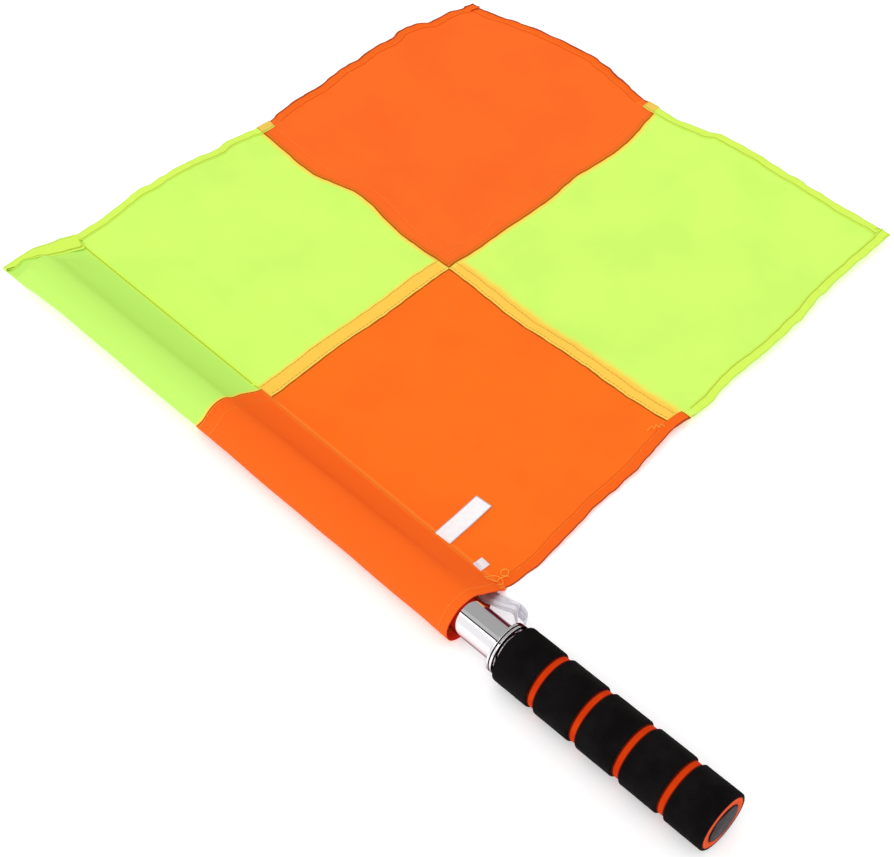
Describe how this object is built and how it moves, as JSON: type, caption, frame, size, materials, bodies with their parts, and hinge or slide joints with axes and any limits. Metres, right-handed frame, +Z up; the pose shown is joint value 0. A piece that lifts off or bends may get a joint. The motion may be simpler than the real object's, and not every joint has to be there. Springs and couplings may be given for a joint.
{
  "type": "linesman flag",
  "caption": "Hand-held signal flag of four sewn panels in two bright colours, folded round a steel pole with a banded foam grip; the flag turns on its pole and draws off it.",
  "frame": {"origin": "centre of the grip's butt end, on the pole's axis, with the flag lying on a table 17.7 mm below it", "axes": "+Y up the pole from the grip to the flag's top (the pole leans 0.8 degrees down to the table), +X across the flag to the fly, +Z up from the table"},
  "size_m": [0.4039, 0.546, 0.0338],
  "materials": {
    "chrome_tube": "bright chrome plating on a thin steel tube, with fine rub marks",
    "ring_steel": "bright nickel-plated spring steel",
    "plug_plastic": "dark grey moulded plastic, satin",
    "orange_foam": "closed-cell foam, matt, with fine pores",
    "black_foam": "closed-cell foam, matt, with fine pores",
    "orange_cloth": "fluorescent woven polyester, matt with a soft sheen",
    "green_cloth": "fluorescent yellow-green woven polyester, matt with a soft sheen",
    "white_ribbon": "glossy woven satin ribbon",
    "white_label": "bare woven tag"
  },
  "bodies": {
    "handle": {"pole_tube": "chrome_tube", "pole_top_plug": "plug_plastic", "butt_cap": "plug_plastic", "grip_core": "orange_foam", "grip_band_1": "black_foam", "grip_band_2": "black_foam", "grip_band_3": "black_foam", "grip_band_4": "black_foam", "grip_band_5": "black_foam"},
    "ring": {"split_ring": "ring_steel"},
    "flag": {"hoist_panel_lower": "orange_cloth", "hoist_panel_upper": "green_cloth", "fly_panel_lower": "green_cloth", "fly_panel_upper": "orange_cloth", "tether_ribbon": "white_ribbon", "blank_label": "white_label"}
  },
  "joints": [
    {"name": "ring_slide", "type": "slide", "parent": "handle", "child": "ring", "axis": [0, 0.9999, -0.0135], "range_m": [0, 0.37]},
    {"name": "flag_turn", "type": "hinge", "parent": "ring", "child": "flag", "pos_m": [0, 0, 0], "axis": [0, -0.9999, 0.0135], "continuous": true}
  ]
}
